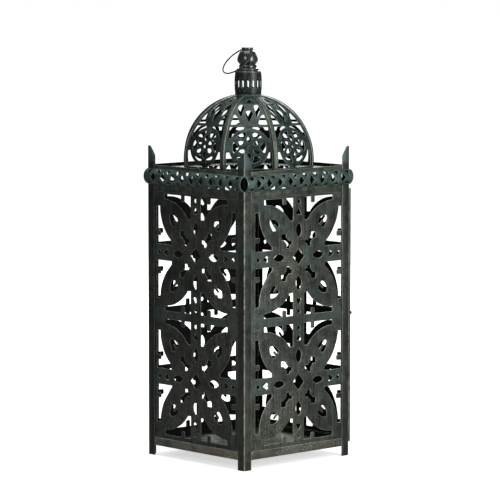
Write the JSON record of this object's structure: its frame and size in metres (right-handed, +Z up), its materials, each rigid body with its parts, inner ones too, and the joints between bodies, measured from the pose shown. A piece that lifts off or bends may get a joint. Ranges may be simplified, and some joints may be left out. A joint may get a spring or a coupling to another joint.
{
  "type": "candle lantern",
  "caption": "Tall square sheet-metal candle lantern with pierced side panels, a hinged pierced door, a spiked cornice, a pierced eight-sided dome and a finial with a hanging ring.",
  "frame": {"origin": "centre of the lantern on the plane its four post feet stand on", "axes": "+Z up; the door is on the +Y side, hinged on its -X edge; the other three sides face -Y, +X and -X"},
  "size_m": [0.2596, 0.2624, 0.6907],
  "materials": {
    "aged_frame_steel": "dark green-black paint, rubbed light along the edges",
    "aged_sheet_steel": "dark patina brushed over sheet steel, streaked, edges rubbed",
    "verdigris_sheet_steel": "dark patina with green verdigris wash",
    "polished_dark_finial": "smooth dark semi-gloss",
    "hinge_steel": "dark painted steel",
    "ring_wire": "dark drawn wire"
  },
  "bodies": {
    "lantern_body": {"corner_post_front_left": "aged_frame_steel", "corner_post_front_right": "aged_frame_steel", "corner_post_rear_left": "aged_frame_steel", "corner_post_rear_right": "aged_frame_steel", "bottom_rail_front": "aged_sheet_steel", "bottom_rail_right": "aged_sheet_steel", "bottom_rail_rear": "aged_sheet_steel", "bottom_rail_left": "aged_sheet_steel", "cornice_band_front": "verdigris_sheet_steel", "cornice_band_right": "verdigris_sheet_steel", "cornice_band_rear": "verdigris_sheet_steel", "cornice_band_left": "verdigris_sheet_steel", "fretwork_panel_front": "aged_sheet_steel", "fretwork_panel_right": "aged_sheet_steel", "fretwork_panel_left": "aged_sheet_steel", "dome_gore_1": "verdigris_sheet_steel", "dome_gore_2": "verdigris_sheet_steel", "dome_gore_3": "verdigris_sheet_steel", "dome_gore_4": "verdigris_sheet_steel", "dome_gore_5": "verdigris_sheet_steel", "dome_gore_6": "verdigris_sheet_steel", "dome_gore_7": "verdigris_sheet_steel", "dome_gore_8": "verdigris_sheet_steel", "dome_rib_1": "aged_frame_steel", "dome_rib_2": "aged_frame_steel", "dome_rib_3": "aged_frame_steel", "dome_rib_4": "aged_frame_steel", "dome_rib_5": "aged_frame_steel", "dome_rib_6": "aged_frame_steel", "dome_rib_7": "aged_frame_steel", "dome_rib_8": "aged_frame_steel", "floor_plate": "aged_sheet_steel", "roof_plate": "aged_sheet_steel", "crown_ring": "aged_frame_steel", "collar": "verdigris_sheet_steel", "finial_neck": "polished_dark_finial", "finial_bulb": "polished_dark_finial", "finial_cap": "polished_dark_finial", "hinge_frame_leaf_lower": "hinge_steel", "hinge_frame_leaf_upper": "hinge_steel", "hinge_pins": "hinge_steel", "hinge_rivets_frame": "hinge_steel"},
    "door": {"door_panel": "aged_sheet_steel", "door_stile_hinge_side": "aged_sheet_steel", "door_stile_free_side": "aged_sheet_steel", "door_rail_lower": "aged_sheet_steel", "door_rail_upper": "aged_sheet_steel", "hinge_door_leaf_lower": "hinge_steel", "hinge_door_leaf_upper": "hinge_steel", "hinge_rivets_door": "hinge_steel"},
    "latch": {"door_knob": "hinge_steel", "latch_tongue": "hinge_steel"},
    "hanging_ring": {"hanging_ring": "ring_wire"}
  },
  "joints": [
    {"name": "door_hinge", "type": "hinge", "parent": "lantern_body", "child": "door", "pos_m": [-0.1224, 0.1226, 0.242], "axis": [0, 0, 1], "range_deg": [0, 175]},
    {"name": "latch_turn", "type": "hinge", "parent": "door", "child": "latch", "pos_m": [0.11225, 0.1245, 0.242], "axis": [0, 1, 0], "range_deg": [0, 90]},
    {"name": "ring_swing", "type": "hinge", "parent": "lantern_body", "child": "hanging_ring", "pos_m": [-0.00122, -0.00132, 0.6868], "axis": [-0.9903, 0.1392, 0], "range_deg": [-20, 260]}
  ]
}
